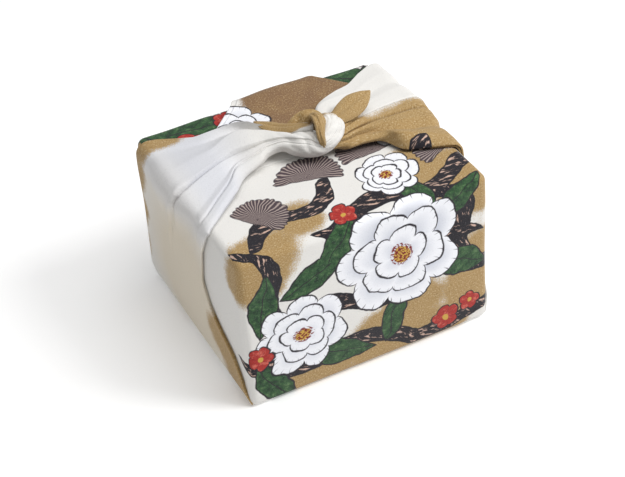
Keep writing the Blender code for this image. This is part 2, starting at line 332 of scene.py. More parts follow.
# Side corners, in shares of their width and in millimetres.
# edges: run up the wall and on over the top, near edge, far edge.
# folds: share at the wall's top, half way in and at the knot, then the heights at the same.
# wallFolds: share at the wall's top and lower, width as a share, rise, reach down the wall.
# rope: centre from the middle of the top, half width, half thickness, the way its flat side faces.
# wing: place along the fan, and how far its far edge stands up there.
leftTie = {
    "side": -1,
    "edges": [
        (0, -99, 98), (22, -90, 97), (42, -79, 95), (56, -63, 93), (73, -44, 91), (90, -35, 89),
        (120, -39, 86), (138, -48, 84), (147, -53, 83), (158, -44, 79), (169, -34.5, 72),
        (180, -25.5, 65), (191, -17, 59), (205, -8, 51.5), (214, -4, 47), (221, -2, 42.5),
    ],
    "folds": [
        (0, 0, 0, 0.4, 1, 0.5), (0.03, 0.045, 0.11, 2, 3.8, 3.2),
        (0.08, 0.12, 0.28, 2.2, 3.8, 3.6), (0.095, 0.14, 0.3, 0.2, 0.6, 0.6),
        (0.115, 0.16, 0.32, 1.8, 3, 2.8), (0.18, 0.235, 0.355, 0.9, 1.2, 1.4),
        (0.3, 0.35, 0.395, 2.2, 3.2, 2.8), (0.37, 0.398, 0.405, 3.2, 4.4, 3.6),
        (0.382, 0.41, 0.42, -2.4, -4.6, -4.4), (0.394, 0.425, 0.433, -2.2, -4.2, -4.2),
        (0.402, 0.436, 0.445, 3.4, 5.6, 5), (0.585, 0.61, 0.66, 3.8, 7, 6.4),
        (0.82, 0.85, 0.84, 0.3, 0.6, 1), (0.86, 0.89, 0.88, 1, 1.8, 2), (1, 1, 1, 0.2, 0.5, 0.5),
    ],
    "wallFolds": [
        (0.39, 0.54, 0.011, -3.4, 90), (0.42, 0.57, 0.03, 1.6, 95), (0.2, 0.24, 0.06, -0.8, 60),
        (0.66, 0.66, 0.07, 0.8, 70), (0.86, 0.84, 0.05, -0.8, 80),
    ],
    "rope": [
        (-36, 20.5, 8.5, 22, 5, 0, -0.1, 1), (-28, 17.5, 10.5, 16.5, 5.5, 0, -0.1, 1),
        (-21, 13, 12.5, 10.5, 5.5, 0, -0.2, 1), (-14, 7.5, 13.5, 7.5, 6.8, 0, -0.2, 1),
        (-7, 1.5, 12.5, 8.5, 9.6, 0, -0.3, 1), (0, -3, 12.5, 10, 10.2, 0, -0.3, 1),
        (7, -7.5, 13, 9.5, 9.5, 0, -0.5, 1), (13, -10, 16, 9, 7.5, 0, -0.8, 1),
        (19.5, -8.5, 20, 9, 5, 0.1, -0.9, 1), (25.5, -3, 23.5, 9.5, 3.6, 0.5, -0.7, 1),
        (25.5, 4.5, 25.5, 7, 3.4, 0.5, 0, 1), (22, 11, 22, 6, 3.6, 0.3, 0.6, 1),
        (18, 16, 13, 6, 5, 0.1, 1, 0),
    ],
    "wing": [(-72, 0), (-58, 4.5), (-47, 9), (-38, 10), (-30, 8), (-23, 5), (-15, 0)],
    "liftAtRoot": 0.006,
    "nearEdgeLift": 0.7,  # share of that at the near edge
    "seed": 11.0,
}
rightTie = {
    "side": 1,
    "edges": [
        (0, -98, 99), (22, -93, 95), (42, -86, 86), (56, -80, 74), (73, -72, 60), (90, -66, 55),
        (120, -61, 68), (138, -57, 80), (147, -56, 86), (158, -51, 82.5), (169, -47, 76),
        (183, -41, 65), (194, -35, 57), (205, -29, 46), (214, -24, 38), (221, -19.5, 32),
    ],
    "folds": [
        (0, 0, 0, 0.2, 0.2, 0.2), (0.03, 0.03, 0.05, 1, 5.5, 5), (0.1, 0.09, 0.12, 1.7, 9.5, 7.5),
        (0.17, 0.16, 0.19, 1.5, 7.5, 5), (0.235, 0.23, 0.24, 0, -0.4, -1),
        (0.31, 0.32, 0.3, 2.6, 4.6, 3.5), (0.4, 0.385, 0.335, 2.6, 4, 3),
        (0.409, 0.394, 0.343, -1.2, -1.6, -1.2), (0.416, 0.401, 0.35, -1.2, -1.6, -1.2),
        (0.425, 0.41, 0.36, 2.2, 4.2, 3), (0.51, 0.505, 0.42, 2.8, 4.8, 3.8),
        (0.518, 0.512, 0.428, 0.2, 0.6, 0.4), (0.532, 0.527, 0.443, 2, 3.4, 2.6),
        (0.66, 0.66, 0.62, 2.4, 3.2, 2.4), (0.74, 0.74, 0.7, 0.9, 1.4, 1),
        (0.86, 0.86, 0.85, 1.6, 2.2, 2), (1, 1, 1, 0.3, 0.5, 0.5),
    ],
    "wallFolds": [
        (0.24, 0.34, 0.03, -1.4, 60), (0.41, 0.5, 0.012, -1.6, 70), (0.53, 0.6, 0.04, 1, 70),
        (0.74, 0.72, 0.04, -0.9, 80),
    ],
    "rope": [
        (36, 5, 11, 25.5, 6.5, 0, -0.3, 1), (29, 0.5, 11.5, 19, 7.5, 0, -0.4, 1),
        (22, -3, 12.5, 14, 7.5, 0, -0.6, 1), (15, -8, 13, 7, 6, 0, -0.9, 0.8),
        (9.5, -14, 16, 3.2, 3.6, 0, -1, 0.3), (8, -13, 25, 3.4, 3.2, 0.2, -0.9, 0.6),
        (10.5, -7, 30, 4.8, 2.8, 0.5, -0.5, 1), (13.5, 2, 31, 6.4, 2.6, 0.5, -0.2, 1),
        (13, 10, 28.5, 7, 2.4, 0.1, -0.3, 1), (8, 15, 24.5, 7.5, 2.2, -0.3, -0.6, 0.8),
        (1, 17, 19.5, 7.5, 2, -0.3, -0.7, 0.7), (-6, 16, 15.5, 6, 2.4, -0.3, -0.6, 0.6),
        (-10, 13, 12, 4, 3, -0.2, -0.5, 0.8),
    ],
    "wing": [(40, 0), (30, 0)],
    "liftAtRoot": 0.006,
    "nearEdgeLift": 0.0,
    "seed": 23.0,
}
tieMesh = {
    "columnWidth": 0.012,  # share of the width
    "edgeSteps": (0.0, 0.0015, 0.005, 0.011),  # shares of the width, for the round of a folded edge
    "edgeRadius": 0.0045,
    "wallSpacing": 0.0055,
    "topSpacing": 0.002,
    "bendRows": 11,
    "ropePerRow": 5,
    "foldedEdge": 0.0009,  # half the thickness of a turned-under edge
}
# A side corner's form between the wall's foot and the knot
fan = {
    "start": 0.0015,  # height of its foot
    "freeBy": 0.02,  # height at which it is clear of the wall that it comes out of
    "sunk": 1.2,  # thicknesses by which its foot is sunk in that wall
    "bulkWidth": 0.06,  # share of the width in which an edge is thicker
    "bulk": (0.55, 0.45),  # thickness everywhere, and what an edge adds
    "liftPower": 1.2,
    "nearEdgeWithin": 0.12,  # share of the width in which the near edge's own lift ends
    "wingFrom": 0.87,  # share of the width at which the far edge starts to stand up
    "foldsStart": 0.035,  # how far under the wall's top its folds start
    "wallFoldsWiden": 2,
    "wallFoldsEnd": 8,  # they end within this fraction of the way in
    "fineSize": 0.0004,
    "fineAtWall": 0.3,
    "finePitch": (12, 16),  # creases to a metre along, and over the width
    "underFollows": 0.8,  # share of the folds that the under side has
    "turnsFrom": 0.5,  # share of the way in at which it starts to turn into the rope
    "flapFrom": -0.02,  # the front corner's cloth makes it rise from here on
    "flapWithin": 0.03,
    "flapLeast": 0.2,
}
# The rope's roundness and the creases that wind round it
ropeForm = {
    "roundness": 0.3,
    "turns": (2.6, 75, 0.8),  # over the width, to a metre along, and how far they wander
    "wanderPitch": (18, 3),
    "sharpness": 0.5,
    "evenHeight": 0.7,
    "depth": 0.0018,
    "depthFrom": (0.012, 0.02),  # starts and how soon it is whole
    "foldsFade": 0.025,  # the fan's folds run out within this
    "fineSize": 0.0006,
    "fineWithin": 0.01,
    "finePitch": (25, 9),
    "fullWidth": 0.007,  # a narrower rope has shallower creases
    "spreadLost": 0.12,
    "spreadLeast": 0.25,
}


# Shares of the width at the wall's top: a column on each fold, and even ones between
def tieColumns(tie):
    edge = tieMesh["edgeSteps"]
    marks = [row[0] for row in tie["folds"]]
    columns = [*edge]
    for start, stop in zip(marks, marks[1:]):
        steps = max(2, round((stop - start) / tieMesh["columnWidth"]))
        between = np.linspace(start, stop, steps + 1)[1:]
        columns += [mark for mark in between if edge[-1] < mark < 1 - edge[-1]]
    return np.array([*columns, *[1 - mark for mark in reversed(edge)]])


# Where the columns lie across the fan, and how high its folds stand there, for a progress of 0 at
# the wall and 1 at the knot
def folded(tie, columns, progress):
    table = np.array(tie["folds"])
    marks = np.array([np.interp(progress, (0, 0.5, 1), row[0:3]) for row in table])
    heights = np.array([np.interp(progress, (0, 0.5, 1), row[3:6]) for row in table])
    shares = np.interp(columns, table[:, 0], marks)
    return shares, np.interp(columns, table[:, 0], heights) * millimetre


# Creases that run along the cloth: count is how many over the width
def streaks(columns, place, count, seed):
    points = [Vector((column * count, place * 2.2, seed)) for column in columns]
    return np.array([noise.noise(point) for point in points])


# How far the far edge stands up, at a place along the fan or the rope
def wingRise(tie, x, shares):
    places, rises = np.array(sorted(tie["wing"])).T
    outermost = np.clip((shares - fan["wingFrom"]) / (1 - fan["wingFrom"]), 0, 1)
    return np.interp(x / millimetre, places, rises) * millimetre * outermost


# Room for the front corner's cloth, which lies under a tie's far part
def tieRise(points):
    overFlap = smooth((points[:, 1] - fan["flapFrom"]) / fan["flapWithin"])
    overFlap = fan["flapLeast"] + (1 - fan["flapLeast"]) * overFlap
    return tieLift * smooth(2 * points[:, 2] / top - 1) * overFlap


class Rope:
    def __init__(self, rows, side, perRow):
        places = np.linspace(0, len(rows) - 1, (len(rows) - 1) * perRow + 1)
        values = through(rows, places)
        self.centre = values[:, 0:3] * millimetre + np.array([0, 0, top])
        self.wide, self.thick = values[:, 3] * millimetre, values[:, 4] * millimetre
        steps = np.linalg.norm(np.diff(self.centre, axis=0), axis=1)
        self.run = np.concatenate([[0], np.cumsum(steps)])
        along = unit(np.gradient(self.centre, axis=0))
        face = unit(values[:, 5:8])
        self.face = unit(face - along * np.sum(face * along, axis=1, keepdims=True))
        self.across = np.cross(self.face, along) * -side

    # over: from the near edge across the outer face; under: back again
    def loop(self, row, columns, relief):
        angle = math.pi * (1 - columns)[:, None]
        sideways = np.cos(angle) * self.across[row] * self.wide[row]
        rise = np.sin(angle) * self.face[row] * self.thick[row]
        outward = np.cos(angle) * self.across[row] + np.sin(angle) * self.face[row]
        outward = unit(outward + 1e-9)
        over = self.centre[row] + sideways + rise + outward * relief[:, None]
        under = self.centre[row] + sideways - rise
        return over, under


# A tie's edges in metres: near and far edge at a run up the wall and on over the top
def tieEdges(tie, run):
    edges = np.array(tie["edges"], float) * millimetre
    return [np.interp(run, edges[:, 0], edges[:, column]) for column in (1, 2)]


# The folds of a tie's wall, which run out downwards and over the top
def wallFolds(tie, across, height, share):
    total = 0
    for where, lower, width, rise, tall in tie["wallFolds"]:
        down = np.clip((top - height) / millimetre / tall, 0, 1)
        centre = where + (lower - where) * down
        fold = bell(across - centre, width * (1 + fan["wallFoldsWiden"] * down))
        fold = fold * (1 - smooth(down)) * (1 - smooth(share * fan["wallFoldsEnd"]))
        total = total + rise * millimetre * fold
    return total


# The rope's outer and inner face at each of its rows, with the fan's folds running out in it
def ropeLayers(tie, rope, row, shares, foldHeights):
    past, seed = rope.run[row], tie["seed"]
    over, along, wander = ropeForm["turns"]
    pitch, count = ropeForm["wanderPitch"]
    twist = shares * over + past * along
    twist = twist + wander * streaks(shares, past * pitch, count, seed + 9)
    crease = np.abs(np.sin(math.pi * twist)) ** ropeForm["sharpness"] - ropeForm["evenHeight"]
    pitch, count = ropeForm["finePitch"]
    fine = streaks(shares, past * pitch, count, seed + 4)
    start, within = ropeForm["depthFrom"]
    relief = foldHeights * math.exp(-past / ropeForm["foldsFade"])
    relief = relief + ropeForm["depth"] * crease * smooth((past - start) / within)
    relief = relief + ropeForm["fineSize"] * fine * smooth(past / ropeForm["fineWithin"])
    rounded = np.sin(math.pi * shares) ** ropeForm["roundness"]
    return rope.loop(row, shares, relief * rounded * min(1, rope.wide[row] / ropeForm["fullWidth"]))


def tieRuns(topRun):
    radius = tieMesh["edgeRadius"]
    wallRows = round(top / tieMesh["wallSpacing"])
    topRows = round(topRun / tieMesh["topSpacing"])
    wall = np.linspace(fan["start"], top - radius, wallRows)
    bend = np.linspace(top - radius, top + radius, tieMesh["bendRows"])[1:-1]
    return np.concatenate([wall, bend, np.linspace(top + radius, top + topRun, topRows)[:-1]])


def tieLoops(tie):
    side = tie["side"]
    columns = tieColumns(tie)
    rope = Rope(tie["rope"], side, tieMesh["ropePerRow"])
    topRun = half[0] - abs(rope.centre[0, 0])
    toEdge = np.minimum(columns, 1 - columns)
    fullness = np.sqrt(1 - (1 - np.clip(toEdge / tieMesh["edgeSteps"][-1], 0, 1)) ** 2)
    everywhere, atEdge = fan["bulk"]
    bulk = np.exp(-toEdge / fan["bulkWidth"])
    thick = tieMesh["foldedEdge"] * (everywhere + atEdge * bulk)
    loops, flats = [], []

    def keep(over, under, run, spread, wing):
        loop = around(over, under)
        loop[:, 2] += around(wing, wing)
        loops.append(loop)
        flat = np.stack([np.full(len(columns), side * (half[0] + run)), spread], axis=1)
        flats.append(around(flat, flat))

    # the fan runs into the rope in the direction in which the rope sets off
    shares, foldHeights = folded(tie, columns, 1.0)
    root, onward = (ropeLayers(tie, rope, row, shares, foldHeights) for row in (0, 1))
    backward = [(layer - further) / rope.run[1] for layer, further in zip(root, onward)]
    for run in tieRuns(topRun):
        height, share = min(run, top), max(run - top, 0) / topRun
        near, far = tieEdges(tie, run)
        across, ridges = folded(tie, columns, share)
        x = side * (half[0] - share * topRun)
        points = np.full((len(columns), 3), (x, 0, height))
        points[:, 1] = near + (far - near) * across
        free = smooth(height / fan["freeBy"])
        lift = free * (cloth["gap"] + turnedUnder["thickness"])
        lift = lift - (1 - free) * fan["sunk"] * thickness
        raised = smooth(across / fan["nearEdgeWithin"])
        raised = tie["nearEdgeLift"] + (1 - tie["nearEdgeLift"]) * raised
        lift = lift + tieRise(points) + tie["liftAtRoot"] * share ** fan["liftPower"] * raised
        lift = lift + thick
        grown = smooth((height - top + fan["foldsStart"]) / fan["foldsStart"])
        pitch, count = fan["finePitch"]
        fine = streaks(across, run * pitch, count, tie["seed"]) * fan["fineSize"]
        fine = fine * (fan["fineAtWall"] + share)
        ridges = ridges * grown + wallFolds(tie, across, height, share) * free + fine * grown
        over = laid(points, lift + ridges + thick * fullness, tieMesh["edgeRadius"])
        ridges = ridges * fan["underFollows"]
        under = laid(points, lift + ridges - thick * fullness, tieMesh["edgeRadius"])
        blend = smooth((share - fan["turnsFrom"]) / (1 - fan["turnsFrom"]))
        left = topRun * (1 - share)
        over = over * (1 - blend) + (root[0] + backward[0] * left) * blend
        under = under * (1 - blend) + (root[1] + backward[1] * left) * blend
        keep(over, under, run, points[:, 1], wingRise(tie, x, across))
    for row, past in enumerate(rope.run):
        over, under = ropeLayers(tie, rope, row, shares, foldHeights)
        wing = wingRise(tie, rope.centre[row, 0], shares)
        spread = max(1 - past / ropeForm["spreadLost"], ropeForm["spreadLeast"])
        keep(over, under, top + topRun + past, points[:, 1] * spread, wing)
    return loops, flats


# The side corners' edges are turned under: a strip of the same cloth along both folds of each
turnedUnder = {
    "width": 0.042,
    "widest": 0.45,  # as a share of the flap's width
    "columns": 12,
    "rows": 60,
    "thickness": 0.0008,
    "start": 0.004,  # height of its foot
    "reaches": 0.035,  # how far in over the top
    "inset": 0.0012,
    "gapShare": 0.6,
    "liftPower": 1.2,
    "liftEnd": 0.03,
}


def makeTurnedUnder(tie, atFar):
    side = tie["side"]
    columns = np.linspace(0, 1, turnedUnder["columns"] + 1)
    runs = np.linspace(turnedUnder["start"], top + turnedUnder["reaches"], turnedUnder["rows"] + 1)
    loops, flats = [], []
    for run in runs:
        height, past = min(run, top), max(run - top, 0)
        near, far = tieEdges(tie, run)
        outer, inward = (far, -1) if atFar else (near, 1)
        wide = min(turnedUnder["width"], turnedUnder["widest"] * (far - near))
        points = np.full((len(columns), 3), (side * (half[0] - past), 0, height))
        points[:, 1] = outer + inward * turnedUnder["inset"] + inward * wide * columns
        free = smooth(height / fan["freeBy"])
        lift = free * cloth["gap"] * turnedUnder["gapShare"] - (1 - free) * thickness
        lift = lift + tieRise(points)
        raised = 1.0 if atFar else tie["nearEdgeLift"]
        share = past / (half[0] - turnedUnder["liftEnd"])
        lift = lift + raised * tie["liftAtRoot"] * share ** turnedUnder["liftPower"]
        over = laid(points, lift + turnedUnder["thickness"], tieMesh["edgeRadius"])
        under = laid(points, lift, tieMesh["edgeRadius"])
        loops.append(np.vstack([over, under[::-1]]))
        away = 2 * outer - points[:, 1]
        flat = np.stack([np.full(len(columns), side * (half[0] + run)), away], axis=1)
        flats.append(np.vstack([flat, flat[::-1]]))
    return sweep(loops, flats)


# Free ends: thin leaves of rolled cloth that narrow to their tips
leftTail = {
    "side": -1,
    "rows": [
        (10, 6, 21, 5, 4.5, 0, 0, 1), (2, 9, 22, 5, 3.5, -0.1, 0, 1),
        (-6, 14, 21, 5, 2.8, -0.1, -0.2, 1), (-13, 22, 19, 5.6, 2.2, -0.1, -0.3, 1),
        (-19, 32, 18, 5, 1.8, -0.1, -0.3, 1), (-25, 44, 17, 0.8, 0.8, -0.1, -0.3, 1),
    ],
    "seed": 31.0,
}
rightTail = {
    "side": 1,
    "rows": [
        (22, 8, 19, 6, 4.5, 0, 0, 1), (32, 6, 22, 7.5, 3.2, 0, -0.3, 1),
        (42, 8, 24, 9.8, 2.4, 0, -0.4, 1), (53, 12, 26, 10, 2, 0, -0.4, 1),
        (63, 16, 27, 6, 1.6, 0, -0.4, 1), (70, 19, 27.5, 0.8, 0.8, 0, -0.4, 1),
    ],
    "seed": 41.0,
}


tailForm = {
    "columns": 33,
    "perRow": 8,
    "fold": (0.45, 0.07, -0.0009),  # share of the width, its own width, height
    "fineSize": 0.0004,
    "finePitch": (30, 6),
    "fullWidth": 0.006,
    "cornerShort": 0.012,  # how far the tip ends before the cloth's corner
}


def makeTail(tail):
    columns = np.linspace(0, 1, tailForm["columns"])
    rope = Rope(tail["rows"], tail["side"], tailForm["perRow"])
    where, width, height = tailForm["fold"]
    pitch, count = tailForm["finePitch"]
    loops, flats = [], []
    for row, past in enumerate(rope.run):
        fine = streaks(columns, past * pitch, count, tail["seed"])
        relief = height * bell(columns - where, width) + tailForm["fineSize"] * fine
        relief = relief * np.sin(math.pi * columns) ** ropeForm["roundness"]
        relief = relief * min(1, rope.wide[row] / tailForm["fullWidth"])
        over, under = rope.loop(row, columns, relief)
        loops.append(around(over, under))
        left = rope.run[-1] - past
        along = tail["side"] * (reach - tailForm["cornerShort"] - left)
        flat = np.stack([np.full(len(columns), along), (columns - 0.5) * 2 * left], axis=1)
        flats.append(around(flat, flat))
    return sweep(loops, flats)


def placed(name, data):
    thing = bpy.data.objects.new(name, data)
    scene.collection.objects.link(thing)
    return thing


def makeCloth():
    parts = [makeBody(), makeBackFlap(), makeFrontFlap()]
    parts += [sweep(*tieLoops(tie)) for tie in (leftTie, rightTie)]
    parts += [makeTail(tail) for tail in (leftTail, rightTail)]
    parts += [makeTurnedUnder(tie, atFar) for tie in (leftTie, rightTie) for atFar in (False, True)]
    whole = bmesh.new()
    for part in parts:
        data = bpy.data.meshes.new("part")
        part.to_mesh(data)
        print("  layer of", len(part.faces), "faces")
        part.free()
        whole.from_mesh(data)
        bpy.data.meshes.remove(data)
    data = bpy.data.meshes.new("folded_cloth")
    whole.to_mesh(data)
    whole.free()
    data.shade_smooth()
    return placed("folded_cloth", data)


clothPiece = makeCloth()
print("cloth folded and tied")
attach(clothPiece, "root")
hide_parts("furoshiki_cloth")


# A method that makes a Math node of the socket and one more value
def sums(operation, turned=False):
    return lambda self, other: self.math(operation, *((other, self) if turned else (self, other)))


# A socket in a material: sums on it make Math nodes, and make() makes any other node
class Socket:
    def __init__(self, tree, socket=None):
        self.tree, self.socket = tree, socket

    def make(self, kind, settings=None, inputs=None, output=0):
        node = self.tree.nodes.new(kind)
        for name, value in (settings or {}).items():
            setattr(node, name, value)
        for name, value in (inputs or {}).items():
            if isinstance(value, Socket):
                self.tree.links.new(value.socket, node.inputs[name])
            else:
                node.inputs[name].default_value = value
        return Socket(self.tree, node.outputs[output])

    def math(self, operation, *values, clamped=False):
        settings = {"operation": operation, "use_clamp": clamped}
        return self.make("ShaderNodeMath", settings, dict(enumerate(values)))

    __add__, __radd__ = sums("ADD"), sums("ADD", turned=True)
    __sub__, __rsub__ = sums("SUBTRACT"), sums("SUBTRACT", turned=True)
    __mul__, __truediv__, __pow__ = sums("MULTIPLY"), sums("DIVIDE"), sums("POWER")
    least, most = sums("MINIMUM"), sums("MAXIMUM")

    def __abs__(self):
        return self.math("ABSOLUTE", self)

    def sine(self):
        return self.math("SINE", self)

    # 1 well inside, 0 well outside, for a distance that is positive inside
    def inside(self, softness=0.0006):
        return self.math("MULTIPLY_ADD", self, 1 / softness, 0.5, clamped=True)

    def split(self):
        node = self.make("ShaderNodeSeparateXYZ", None, {0: self}).socket.node
        return [Socket(self.tree, output) for output in node.outputs]

    # this place as seen from a motif's middle, turned with it
    def seenFrom(self, across, along, turn=0.0):
        rotation = (0, 0, math.radians(turn))
        values = {"Vector": self, "Location": (across, along, 0), "Rotation": rotation}
        return self.make("ShaderNodeMapping", {"vector_type": "TEXTURE"}, values)

    def vector(self, operation, *values, output=0):
        inputs = dict(enumerate(values))
        return self.make("ShaderNodeVectorMath", {"operation": operation}, inputs, output)

    def length(self):
        return self.vector("LENGTH", self, output="Value")

    def distance(self, spot):
        return self.vector("DISTANCE", self, spot, output="Value")

    def noise(self, scale, detail=2.0, roughness=0.5, output="Fac"):
        values = {"Vector": self, "Scale": scale, "Detail": detail, "Roughness": roughness}
        return self.make("ShaderNodeTexNoise", None, values, output)

    def mixedColours(self, first, second, amount):
        settings = {"data_type": "RGBA", "clamp_factor": True}
        return self.make("ShaderNodeMix", settings, {0: amount, 6: first, 7: second}, 2)

    def mixed(self, other, amount):
        return self.mixedColours(self, other, amount)


# An sRGB colour of 0 to 255 as the shader's linear one
def linear(red, green, blue):
    parts = [part / 255 for part in (red, green, blue)]
    parts = [part / 12.92 if part < 0.04045 else ((part + 0.055) / 1.055) ** 2.4 for part in parts]
    return (*parts, 1.0)


white = (1, 1, 1, 1)
# The print: clouds of gold on cream, and an ink-outlined pattern of peonies, leaves, plum blossom,
# pine and streams, in millimetres on the flat cloth from its middle, with turns in degrees
inks = {
    "cream": (227, 225, 221),
    # painted shade, not a print ink: a bluer cream for the left side, which lies in shade
    "paintedShadeBlueCream": (213, 214, 219),
    "white": (240, 241, 246),
    "petalShade": (205, 208, 218),
    "gold": (168, 138, 90),
    "goldPale": (212, 192, 152),
    "goldDeep": (136, 106, 62),
    "umber": (128, 98, 70),
    "outline": (38, 32, 40),
    "green": (52, 88, 52),
    "greenPale": (110, 140, 92),
    "greenDeep": (26, 52, 34),
    "red": (168, 44, 38),
    "redPale": (206, 104, 88),
    "redDeep": (120, 26, 30),
    "black": (30, 27, 34),
    "fleck": (204, 172, 156),
    "pine": (72, 58, 64),
    "pineLine": (182, 166, 158),
    "stamen": (200, 160, 70),
}
inks = {name: linear(*colour) for name, colour in inks.items()}
clouds = [  # across, along, radius
    (-268, 90, 30), (-238, 100, 28), (-195, 108, 24), (-155, 110, 20), (-158, -60, 22),
    (-130, -85, 26), (-470, 0, 54), (262, -35, 50), (305, -34, 42), (345, -25, 40), (430, 0, 60),
    (180, 45, 38), (150, 75, 34), (215, -60, 30), (10, -120, 36), (60, -105, 30), (-50, -110, 30),
    (95, -145, 30), (100, -255, 40), (65, -290, 26), (105, -170, 30), (40, -150, 24),
    (-100, -235, 30), (-85, -250, 28), (-45, -275, 22), (12, -425, 44), (45, -400, 34),
    (-15, -395, 20), (0, 0, 70), (60, 130, 40), (-60, 150, 36), (20, 230, 34), (-100, 240, 24),
]
peonies = [  # across, along, radius, turn
    (28, -205, 56, 10), (-62, -160, 40, 50), (-50, -405, 34, 20), (30, 165, 48, 100),
    (-85, 300, 34, 150), (75, -345, 26, 75), (42, -291, 27, 35),
]
leaves = [  # across, along, half length, half width, turn
    (-22, -235, 34, 13, 130), (-48, -214, 32, 13, 160), (-92, -198, 30, 12, 100),
    (-30, -128, 34, 13, 20), (-88, -118, 30, 12, 60), (78, -176, 34, 13, 25),
    (82, -236, 32, 12, -35), (50, -262, 30, 12, 75), (20, -142, 26, 10, 110),
    (-60, 262, 36, 16, 10), (-95, 262, 34, 16, 60), (-50, 292, 32, 14, 120),
    (80, 262, 34, 16, 35), (98, 284, 30, 14, 100), (85, 195, 34, 13, 40), (-25, 190, 34, 13, 150),
    (5, 110, 34, 13, 80), (-85, 120, 32, 13, 20),
]
blossoms = [  # across, along, radius, turn
    (68, -120, 13, 0), (90, -128, 10, 30), (-10, -262, 12, 15), (-98, -150, 12, 50),
    (-75, 278, 15, 20), (-35, 262, 12, 60), (60, 285, 11, 0), (-55, 215, 13, 40),
    (85, 140, 12, 10), (190, 20, 12, 15), (168, 2, 9, 45),
]
pines = [  # across, along, radius, turn
    (-16, -320, 28, 200), (42, -330, 29, 170), (96, -302, 26, 150), (-74, -292, 26, 230),
    (100, 225, 30, 30), (-40, 135, 30, 120),
]
streams = [  # across, along, half length, half width, turn, wave, waves' pitch
    (85, -205, 85, 10.5, 62, 16, 100), (-10, -172, 120, 9, -12, 13, 120),
    (40, -262, 85, 10, -6, 9, 90), (-85, -215, 60, 8, 72, 8, 80), (20, -122, 100, 8.5, 6, 8, 130),
    (70, 275, 60, 10, 20, 12, 90), (-20, 245, 100, 8, 165, 14, 120),
    (-48, -283, 52, 9.5, -22, 9, 80), (300, -55, 30, 9, -38, 3, 100),
]
lineWidth = 0.00075
stream = {
    "taper": 8,  # the higher, the blunter its ends
    "softness": 0.0007,
    "border": 0.0018,  # black, without flecks
    "fleckCut": 0.59,
    "fleckSize": (260, 3.0, 0.6),
    "fleckTurn": 20,
    "fleckStretch": (0.35, 1.3, 1),
}
peony = {
    "rings": ((7, 1.0, 0.26, 0.4), (6, 0.72, 0.24, 1.3), (5, 0.46, 0.28, 2.2)),
    # of each ring: petals, share of the radius, depth between them, turn
    "shade": (70, 0.35),  # how fast a petal's shade grows inwards, and from where
    "spokes": 0.14,
    "spokeLength": 0.07,
    "core": 0.15,
    "dots": (520, 1.0),
}
leaf = {"thickness": 0.40, "veins": 22, "veinLean": 0.55, "veinWidth": 0.94}
blossom = {"petals": 5, "depth": 0.30, "core": 0.2, "spokes": 0.15, "spokeEnd": 0.62}
pine = {"fringe": 0.07, "teeth": 14, "needles": 46, "cut": 0.2, "hole": 0.03}
# Noises: scale, detail, roughness
grainNoise = (760, 2.0, 0.6)
coarseNoise = (70, 3.0, 0.55)
mottleNoise = (170, 4.0, 0.65)
crepeNoise = (1050, 2.0, 0.6)
rippleNoise = (300, 2.0, 0.5)
# The hand's wobble in shapes and in lines: scale and size
wobbles = ((26, 0.016), (150, 0.0022))
# Tints of the ground: painted shade on the shaded left side, pale gold round a place on its wall
# and bluer cream in a band round its top edge; brown print from a line on
paintedShadeWash = {"middle": (-0.17, 0, 0), "radius": 0.105, "rate": 9, "most": 0.5}
paintedShadeBand = {"left": 0.285, "halfWidth": 0.05, "rate": 25}
umberArea = {"from": -0.33, "rate": 14, "most": 0.85}
hem = {"width": 0.004, "softness": 0.0006, "seam": 0.0004, "seamSoftness": 0.0008, "seamDepth": 0.8}
surface = {"Sheen Weight": 0.15, "Sheen Roughness": 0.5, "Specular IOR Level": 0.25}
crepeRelief = {"Distance": 0.0004, "Strength": 0.9}


# The place as seen from the nearest motif's middle, turned with it and in its own half sizes,
# with its half length as a third coordinate
def nearestMotif(place, rows):
    best = bestAway = None
    for row in rows:
        across, along, halfLength, halfWidth = (size * millimetre for size in row[:4])
        here = place.make("ShaderNodeMapping", {"vector_type": "TEXTURE"}, {
            "Vector": place,
            "Location": (across, along, -halfLength),
            "Rotation": (0, 0, math.radians(row[4])),
            "Scale": (halfLength, halfWidth, 1),
        })
        away = here.length()
        if best is None:
            best, bestAway = here, away
        else:
            nearer = away.math("LESS_THAN", away, bestAway)
            chosen = {0: nearer, 4: best, 5: here}
            best = place.make("ShaderNodeMix", {"data_type": "VECTOR"}, chosen, 1)
            bestAway = away.least(bestAway)
    return best


def roundMotifs(rows):
    return [(across, along, radius, radius, turn) for across, along, radius, turn in rows]


def polar(x, y):
    return y.math("ARCTAN2", y, x), (x * x + y * y) ** 0.5


# How far inside the edge of a ring of petals, in metres
def petalled(angle, away, radius, count, share, depth, turn):
    lobes = abs((angle * (count / 2) + turn).sine()) ** 0.55
    return (lobes * (depth * share) + (1 - depth) * share - away) * radius


# Each of these gives the colour under it, painted over
def paintStream(colour, place, row):
    turn = row[4]
    across, along, halfLength, halfWidth, _, wave, pitch = (size * millimetre for size in row)
    here = place.seenFrom(across, along, turn)
    x, y, _ = here.split()
    bend = (x * (2 * math.pi / pitch)).sine() * wave
    taper = 1 - (abs(x) / halfLength) ** stream["taper"]
    distance = taper * halfWidth - abs(y - bend)
    stretched = {"Vector": place.seenFrom(across, along, turn + stream["fleckTurn"])}
    stretched["Scale"] = stream["fleckStretch"]
    flecks = place.make("ShaderNodeMapping", None, stretched).noise(*stream["fleckSize"])
    fleck = ((flecks - stream["fleckCut"]) * 0.01).inside(stream["softness"])
    fleck = fleck * (distance - stream["border"]).inside()
    band = place.mixedColours(inks["black"], inks["fleck"], fleck)
    return colour.mixed(band, distance.inside())


